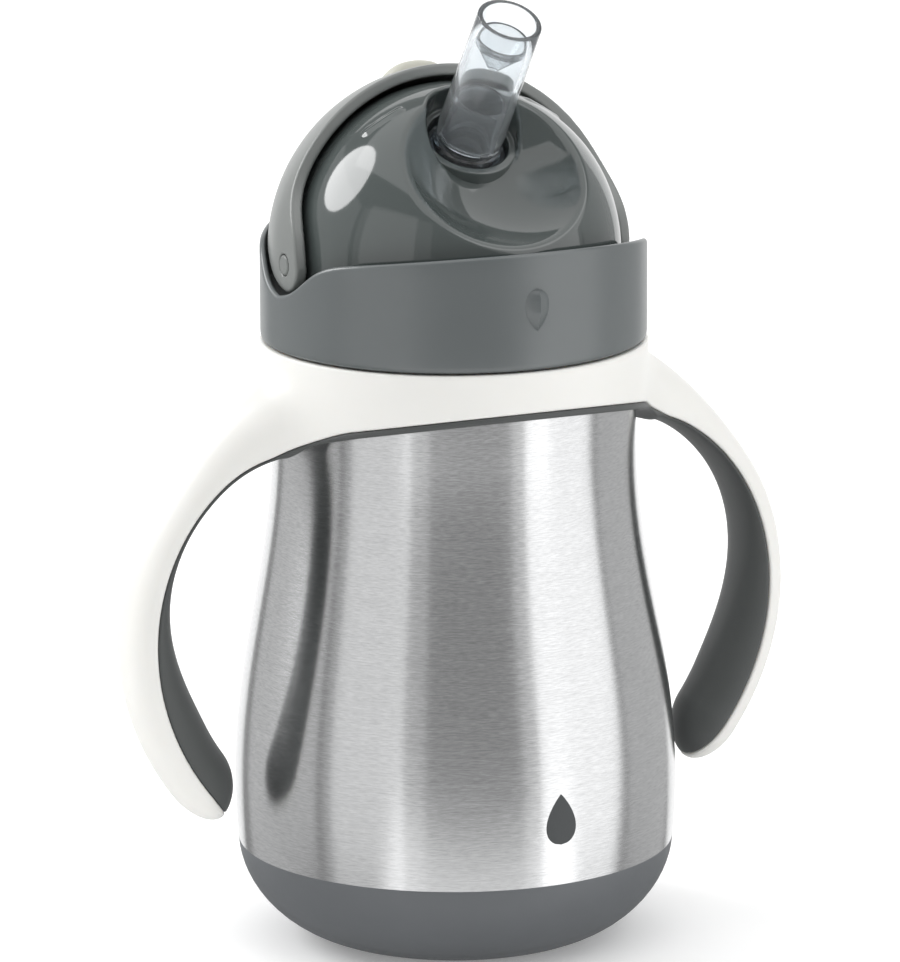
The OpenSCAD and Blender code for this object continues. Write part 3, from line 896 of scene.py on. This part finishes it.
class CUP_OT_lid(bpy.types.Operator):
    """Band with its wavy edge and raised drop, thread ring, sealing plate, gasket and valve"""

    bl_idname = "cup.lid"
    bl_label = "Lid band"

    def execute(self, context):
        scene = context.scene
        lid, hood = scene.cup_lid, scene.cup_hood
        place(self.band(lid, hood), "lid", "lid_grey", "band", "lid_band")
        band_r = lid.band_r / MM
        foot = lid.band_z / MM
        bore, sleeve_top = 30.7, 115.4
        ring = rounded([(bore, foot + 0.5, 0.3), (band_r - 1.4, foot + 0.5, 0.3),
                        (band_r - 1.4, sleeve_top, 0), (bore, sleeve_top, 0.3)], 0.3)
        threads = grown("inner_thread", thread_group(), {
            "Radius": (bore + 0.25) * MM, "Bead": 0.0006, "Start height": 0.1088, "Pitch": 0.003,
            "Turns": 1.6, "Material": finish("inner")})
        place(lathe("thread_sleeve", ring), "lid", "inner_white", "inner", "thread_ring")
        place(threads, "lid", "inner_white", "inner")
        lo, hi = in_mm(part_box("lid_gasket"))
        z0, z1, r1 = lo[2], hi[2], hi[0]
        lips = rounded([(r1 - 2.6, z0, 0.2), (r1 - 1.4, z0, 0.2), (r1 - 1.3, z0 + 0.3, 0.1),
                        (r1 - 0.9, z0 + 0.3, 0.1), (r1 - 0.8, z0, 0.2), (r1, z0, 0.3), (r1, z1, 0.3),
                        (r1 - 2.6, z1, 0.3)], 0.2)
        place(lathe("rim_gasket", lips, 160), "seal", "seal", "seal", "lid_gasket")
        coat_node("inner_plate", "inner")
        coat_node("vent_valve", "seal")
        lo, hi = in_mm(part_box("drop_straw"))
        tube_r, tube_wall = hi[0], 1.2
        tube = rounded([(tube_r - tube_wall, lo[2]), (tube_r, lo[2]), (tube_r, hi[2]),
                        (tube_r - tube_wall, hi[2])], 0.35)
        place(lathe("long_straw", tube, 64), "lid", "inner_white", "inner", "drop_straw")
        return {"FINISHED"}

    def band(self, lid, hood):
        """The band as a wall whose top edge follows the closed hood, with the web that holds the dome."""
        outer = lid.band_r / MM
        foot, pivot = lid.band_z / MM, lid.pivot_z / MM
        inner, web_r = outer - 1.1, lid.dome_r / MM + 0.1
        edge_gap = 0.4
        segments = 512
        points, faces = [], []
        low_rows = [(web_r, 115.6), (inner - 0.2, 115.6), (inner, 115.4), (inner, foot + 0.3),
                    (inner + 0.15, foot + 0.05), (inner + 0.4, foot), (outer - 0.75, foot),
                    (outer - 0.42, foot + 0.08), (outer - 0.16, foot + 0.32), (outer - 0.04, foot + 0.7),
                    (outer, foot + 1.2)]
        rise = [0.12, 0.3, 0.5, 0.7, 0.88]
        tops = [(outer, -0.85), (outer - 0.04, -0.5), (outer - 0.18, -0.2), (outer - 0.42, -0.04),
                (outer - 0.65, 0.0), (inner + 0.32, -0.03), (inner + 0.1, -0.16), (inner, -0.42)]
        down = [(inner, 117.15), (inner - 0.15, 116.95), (inner - 0.4, 116.85), (web_r, 116.85)]
        count = len(low_rows) + len(rise) + len(tops) + len(down)
        for k in range(segments):
            q = 2 * math.pi * k / segments
            x, y = math.cos(q), math.sin(q)
            top = pivot + float(hood_edge(hood, abs(y) * outer)) - edge_gap
            column = list(low_rows)
            start, stop = foot + 1.2, top - 0.85
            column += [(outer, start + (stop - start) * t) for t in rise]
            column += [(r, top + dz) for r, dz in tops] + down
            points.extend((r * x, r * y, z) for r, z in column)
        for k in range(segments):
            a, b = k * count, ((k + 1) % segments) * count
            for i in range(count):
                j = (i + 1) % count
                faces.append((a + i, b + i, b + j, a + j))
        wall = mesh_piece("band_wall", points, faces, 50)
        return joined("band_wall", [wall, self.drop(outer)])

    def drop(self, radius):
        """The raised drop on the band's front: two slopes that meet in a ridge."""
        middle_z, height, half = 118.0, 7.6, 2.35
        relief, sunk = 1.7, 0.25
        rows, columns = 36, 25
        points = []
        for side in (1, 0):
            for i in range(rows + 1):
                u = i / rows
                q = math.acos(1 - 2 * u)
                width = half * math.sin(q) * math.cos(q / 2) ** 0.6 / 0.80
                z = middle_z + height * (0.5 - u)
                for j in range(columns):
                    s = 2 * j / (columns - 1) - 1
                    swell = relief * min(1.0, width / half) ** 0.9 * (1 - abs(s)) ** 0.8
                    r = radius - sunk + side * swell
                    a = width * s / radius
                    points.append((r * math.sin(a), -r * math.cos(a), z))
        obj = mesh_piece("band_drop", points, sheet_faces(rows, columns, False))
        weld(obj, 2e-6)
        obj.data.set_sharp_from_angle(angle=math.radians(35))
        return obj


def straw_place(straw, x, y, z):
    """Distance along and from the mouthpiece's axis, in the pivot's frame, in millimetres."""
    dz = z - straw.knee_dz / MM
    s, c = math.sin(straw.lean), math.cos(straw.lean)
    along = -y * s + dz * c
    across = np.hypot(x, y * c + dz * s)
    return along, across


class CUP_OT_dome(bpy.types.Operator):
    """Glossy dome with its hollow, its hole and two small stops"""

    bl_idname = "cup.dome"
    bl_label = "Dome"

    def execute(self, context):
        scene = context.scene
        lid, straw = scene.cup_lid, scene.cup_straw
        pivot, radius = lid.pivot_z / MM, lid.dome_r / MM
        basin_r = lid.basin_r / MM
        hole_t = straw.hole_t / MM
        basin_y, basin_z = -30.5, 30.1
        stop_from, stop_r = (12.0, -4.3, 25.2), 1.3
        way = np.array([17.4, -3.4, 21.9]) - np.array(stop_from)
        wall, shelf_r, opening_r = 2.0, 8.5, 7.9
        skirt = low("lid_dome", 2) / MM - pivot

        def surface(x, y, z):
            ball = np.sqrt(x * x + y * y + np.maximum(z, 0) ** 2) - radius
            basin = basin_r - np.sqrt(x * x + (y - basin_y) ** 2 + (z - basin_z) ** 2)
            d = blend_max(ball, basin, 1.3)
            ax, ay, az = np.abs(x) - stop_from[0], y - stop_from[1], z - stop_from[2]
            share = np.clip((ax * way[0] + ay * way[1] + az * way[2]) / (way @ way), 0, 1)
            stop = np.sqrt((ax - share * way[0]) ** 2 + (ay - share * way[1]) ** 2
                           + (az - share * way[2]) ** 2) - stop_r
            d = blend_min(d, stop, 0.5)
            along, across = straw_place(straw, x, y, z)
            shelf = blend_max(across - shelf_r, hole_t - along, 0.8)
            return blend_max(d, -shelf, 0.9)

        def dome(x, y, z):
            z = z - pivot
            skin = surface(x, y, z)
            shell = np.abs(skin + wall / 2) - wall / 2
            along, across = straw_place(straw, x, y, z)
            solid = np.maximum(shell, -np.maximum(across - opening_r, hole_t - 12 - along))
            return blend_max(solid, skirt - z, 0.3)

        lowest = [-radius - 2, -radius - 2, pivot + skirt - 2]
        highest = [radius + 2, radius + 2, pivot + radius + 3]
        step = 0.42
        seat = rounded([(5.0, hole_t - 6.0), (8.7, hole_t - 6.0), (8.7, hole_t + 0.12, 0.35),
                        (7.2, hole_t + 0.12, 0.4), (7.2, hole_t - 3.3), (5.0, hole_t - 3.3)], 0.25, 6)
        ring = moved(lathe("hole_seat", seat, 128), straw_matrix(straw, lid))
        skin = field_piece("gloss_dome", dome, lowest, highest, step)
        place(joined("gloss_dome", [skin, ring]), "lid", "dome_grey", "dome", "lid_dome")
        return {"FINISHED"}


class CUP_OT_hood(bpy.types.Operator):
    """Flip hood, its thumb tab and the two pivot pins"""

    bl_idname = "cup.hood"
    bl_label = "Hood"

    def execute(self, context):
        scene = context.scene
        lid, hood = scene.cup_lid, scene.cup_hood
        pivot = lid.pivot_z / MM
        outer, wall = hood.outer_r / MM, hood.wall / MM
        arm, pin_r = hood.arm_half / MM, lid.pin_r / MM
        tab_s, tab_c = math.sin(hood.tab_turn), math.cos(hood.tab_turn)
        tab_straight, tab_r, tab_h = 2.6, 3.7, 2.4

        def tab_solid(x, y, z, grow):
            across, out = y * tab_c - z * tab_s, y * tab_s + z * tab_c
            side = np.hypot(np.maximum(np.abs(x) - tab_straight, 0), across) - tab_r - grow
            crown = out - (outer + tab_h - 0.045 * x * x)
            return blend_max(side, crown, 2.4), out

        def tab(x, y, z):
            solid, out = tab_solid(x, y, z - pivot, 0)
            return blend_max(solid, outer - 0.7 - out, 0.2)

        def arch(x, y, z):
            z = z - pivot
            r = np.sqrt(x * x + y * y + z * z)
            shell = np.abs(r - outer + wall / 2) - wall / 2
            front, rear = hood_edge(hood, z) - y, hood_edge(hood, y) - z
            slope = 0.5 * (hood_edge(hood, z + 1) - hood_edge(hood, z - 1))
            slope_r = 0.5 * (hood_edge(hood, y + 1) - hood_edge(hood, y - 1))
            side = np.maximum(front / np.sqrt(1 + slope ** 2), rear / np.sqrt(1 + slope_r ** 2))
            side = np.where((y < 0) & (z < 0), np.hypot(y, z) - arm, side)
            body = blend_max(shell, side, 0.55)
            body = blend_max(body, pin_r + 0.12 - np.hypot(y, z), 0.3)
            seat, out = tab_solid(x, y, z, 0.06)
            return blend_max(body, -np.maximum(seat, outer - 0.75 - out), 0.15)

        lowest = [-outer - 2, -arm - 2, pivot - arm - 2]
        highest = [outer + 2, outer + 3, pivot + outer + 3]
        step = 0.40
        place(field_piece("hood_arch", arch, lowest, highest, step), "hood", "hood_grey", "hood", "flip_hood")
        tab_y, tab_z = outer * tab_s, pivot + outer * tab_c
        lowest, highest = [-8, tab_y - 8, tab_z - 8], [8, tab_y + 8, tab_z + 8]
        place(field_piece("hood_tab", tab, lowest, highest, 0.3), "hood", "tab", "tab", "thumb_tab")
        self.pins(lid, outer)
        return {"FINISHED"}

    def pins(self, lid, outer):
        radius = lid.pin_r / MM
        start, head = low("right_pivot_pin", 0) / MM, outer + 0.05
        profile = [(0, start), (radius - 0.2, start), (radius, start + 0.2), (radius, head - 0.45),
                   (radius - 0.08, head - 0.2), (radius - 0.3, head - 0.04), (0.5, head), (0, head)]
        for name, side in (("right", 1), ("left", -1)):
            pin = lathe("pin_" + name, profile, 48)
            turn_over = Matrix.Rotation(math.radians(90 * side), 4, "Y")
            moved(pin, Matrix.Translation((0, 0, lid.pivot_z)) @ turn_over)
            place(pin, "lid", "pin_grey", "pin", name + "_pivot_pin")


class CUP_OT_mouthpiece(bpy.types.Operator):
    """Clear silicone mouthpiece, the valve inside it and its flexible foot"""

    bl_idname = "cup.mouthpiece"
    bl_label = "Mouthpiece"

    def execute(self, context):
        scene = context.scene
        lid, straw = scene.cup_lid, scene.cup_straw
        radius, wall = straw.spout_r / MM, straw.wall / MM
        hole_t, tip_t = straw.hole_t / MM, straw.tip_t / MM
        frame_up = straw_matrix(straw, lid)
        bore = radius - wall
        base = hole_t + 0.65
        tube = rounded([
            (bore - 0.1, base, 0), (radius - 0.15, base, 0.2), (radius, base + 2.5, 1),
            (radius - 0.25, tip_t - 6, 2),
            (radius - 0.3, tip_t, 0.6), (bore - 0.15, tip_t, 0.5), (bore - 0.2, tip_t - 6, 1)], 0.4, 5)
        bend = frame_up @ Matrix.Translation((0, 0, base * MM)) @ Matrix.Rotation(-straw.rise, 4, "X")
        bend = bend @ Matrix.Rotation(straw.sway, 4, "Y") @ Matrix.Translation((0, 0, -base * MM))
        mouth = moved(lathe("mouth_tube", tube, 96), bend)
        place(mouth, "spout", "clear_silicone", "silicone", "mouthpiece")
        lip = bore - 0.3
        top = tip_t - 4.6
        skin = 0.45
        valve = rounded([
            (0.7, top - 5.6, 0.1), (0.7 + skin, top - 5.6, 0.1), (lip, top - 0.7, 0.8), (lip, top + 0.5, 0.2),
            (lip - skin, top + 0.5, 0.2), (lip - skin - 0.2, top - 0.5, 0.8)], 0.2, 4)
        beak = moved(lathe("valve_beak", valve, 72), bend)
        place(beak, "spout", "clear_silicone", "silicone", "bite_valve")
        stem = radius - 1.1
        foot = rounded([
            (stem - 1.4, hole_t - 9, 0), (stem, hole_t - 9, 0), (stem, hole_t - 3.1, 0.3),
            (7.1, hole_t - 3.1, 0.3),
            (7.1, hole_t - 1.9, 0.5), (radius + 0.1, hole_t - 1.5, 0.5), (radius + 0.1, hole_t - 0.2, 0.5),
            (radius - 0.35, hole_t + 0.1, 0.3), (radius - 0.3, hole_t + 0.58, 0.1),
            (stem - 1.4, hole_t + 0.58, 0)],
            0.3, 4)
        root = moved(lathe("mouth_foot", foot, 96), frame_up)
        place(root, "lid", "clear_silicone", "silicone", "spout_base")
        sleeve = rounded([
            (bore - 1.0, base + 0.2, 0.2), (bore - 0.22, base + 0.2, 0.2), (bore - 0.22, base + 8.2, 0.3),
            (bore - 0.6, base + 8.8, 0.3), (bore - 1.0, base + 8.4, 0.3)], 0.3, 4)
        sleeve = moved(lathe("inner_sleeve", sleeve, 72), bend)
        place(sleeve, "spout", "clear_silicone", "silicone")
        for piece in (mouth, beak, sleeve):
            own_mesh(piece)
        return {"FINISHED"}


class CUP_OT_stage(bpy.types.Operator):
    """Pale floor, soft lights and the camera"""

    bl_idname = "cup.stage"
    bl_label = "Stage"

    def execute(self, context):
        scene = context.scene
        stage = scene.cup_stage
        self.floor()
        self.room(scene, stage)
        centre = Vector((0, 0, 0.12))
        for name, azimuth, elevation, distance, size, strength in (
                ("Octabox", -131, 32, 1.5, (0.92, 0.92), 6.0),
                ("Left panel", -72, 0, 1.5, (1.1, 1.9), 0.42),
                ("Left fill", -69, 0, 1.6, (1.75, 1.9), 0.24),
                ("Left side", -132, 2, 1.6, (1.9, 1.8), 0.36),
                ("Right panel", 45, 13, 1.5, (1.5, 3.3), 0.85),
                ("Right fill", 42, 13, 1.6, (2.1, 3.0), 0.32),
                ("Right side", 98, 2, 1.6, (1.3, 1.8), 0.32),
                ("Bounce", -10, -43, 1.5, (3.0, 1.2), 0.85),
                ("Back", 155, 6, 1.8, (2.4, 2.0), 0.9),
                ("Overhead", 0, 90, 1.6, (3.0, 3.0), 0.92)):
            self.panel(name, centre, math.radians(azimuth), math.radians(elevation), distance, size, strength)
        self.camera(scene, stage)
        scene.view_settings.view_transform = "Standard"
        return {"FINISHED"}

    def floor(self):
        half = 60000.0
        points = [(-half, -half, 0), (half, -half, 0), (half, half, 0), (-half, half, 0)]
        obj = mesh_piece("pale_floor", points, [(0, 1, 2, 3)])
        obj.visible_glossy = False
        coat(obj, "floor")

    def room(self, scene, stage):
        world = bpy.data.worlds.new("Studio")
        scene.world = world
        world.use_nodes = True
        light = world.node_tree.nodes["Background"].inputs
        light["Color"].default_value = (1.0, 1.0, 1.0, 1.0)
        light["Strength"].default_value = stage.room

    def panel(self, name, centre, azimuth, elevation, distance, size, strength):
        light = bpy.data.lights.new(name, "AREA")
        disk = name == "Octabox"
        light.shape = "DISK" if disk else "RECTANGLE"
        light.size = size[0]
        if not disk:
            light.size_y = size[1]
        area = size[0] * size[1] * (math.pi / 4 if disk else 1.0)
        light.energy = strength * math.pi * area
        obj = bpy.data.objects.new(name, light)
        bpy.context.scene.collection.objects.link(obj)
        way = heading(azimuth, elevation)
        obj.location = centre + way * distance
        obj.rotation_euler = way.to_track_quat("Z", "Y").to_euler()
        obj.visible_camera = False

    def camera(self, scene, stage):
        data = bpy.data.cameras.new("Camera")
        data.lens = stage.lens
        data.sensor_width = 36.0
        data.shift_x = stage.shift_x
        data.clip_start = 0.05
        data.clip_end = 400.0
        obj = bpy.data.objects.new("Camera", data)
        scene.collection.objects.link(obj)
        away = heading(stage.azimuth, stage.elevation)
        obj.location = Vector((0, 0, stage.target_z)) + away * stage.distance
        facing = (-away).to_track_quat("-Z", "Y") @ Quaternion((0, 0, 1), stage.roll)
        obj.rotation_mode = "QUATERNION"
        obj.rotation_quaternion = facing
        scene.camera = obj


# ------------------------------------------------------------------- add-on

STEPS = (CUP_OT_stage, CUP_OT_bottle, CUP_OT_print, CUP_OT_handles, CUP_OT_lid, CUP_OT_dome, CUP_OT_hood,
         CUP_OT_mouthpiece)
SETTINGS = {"cup_bottle": BottleSettings, "cup_handles": HandleSettings, "cup_lid": LidSettings,
            "cup_hood": HoodSettings, "cup_straw": StrawSettings, "cup_stage": StageSettings}


class CUP_PT_panel(bpy.types.Panel):
    """Lists the steps and settings of the straw cup"""

    bl_idname = "CUP_PT_panel"
    bl_label = "Straw cup"
    bl_space_type = "VIEW_3D"
    bl_region_type = "UI"
    bl_category = "Straw cup"

    def draw(self, context):
        for step in STEPS:
            self.layout.operator(step.bl_idname)
        for name, group in SETTINGS.items():
            box = self.layout.box()
            box.label(text=group.__name__)
            for field in group.__annotations__:
                box.prop(getattr(context.scene, name), field)


def register():
    for name, group in SETTINGS.items():
        bpy.utils.register_class(group)
        setattr(bpy.types.Scene, name, PointerProperty(type=group))
    for item in STEPS + (CUP_PT_panel,):
        bpy.utils.register_class(item)


def unregister():
    for item in reversed(STEPS + (CUP_PT_panel,)):
        bpy.utils.unregister_class(item)
    for name, group in SETTINGS.items():
        delattr(bpy.types.Scene, name)
        bpy.utils.unregister_class(group)


def main():
    """Registers the add-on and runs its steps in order."""
    register()
    for step in STEPS:
        area, name = step.bl_idname.split(".")
        getattr(getattr(bpy.ops, area), name)()


if __name__ == "__main__":
    main()
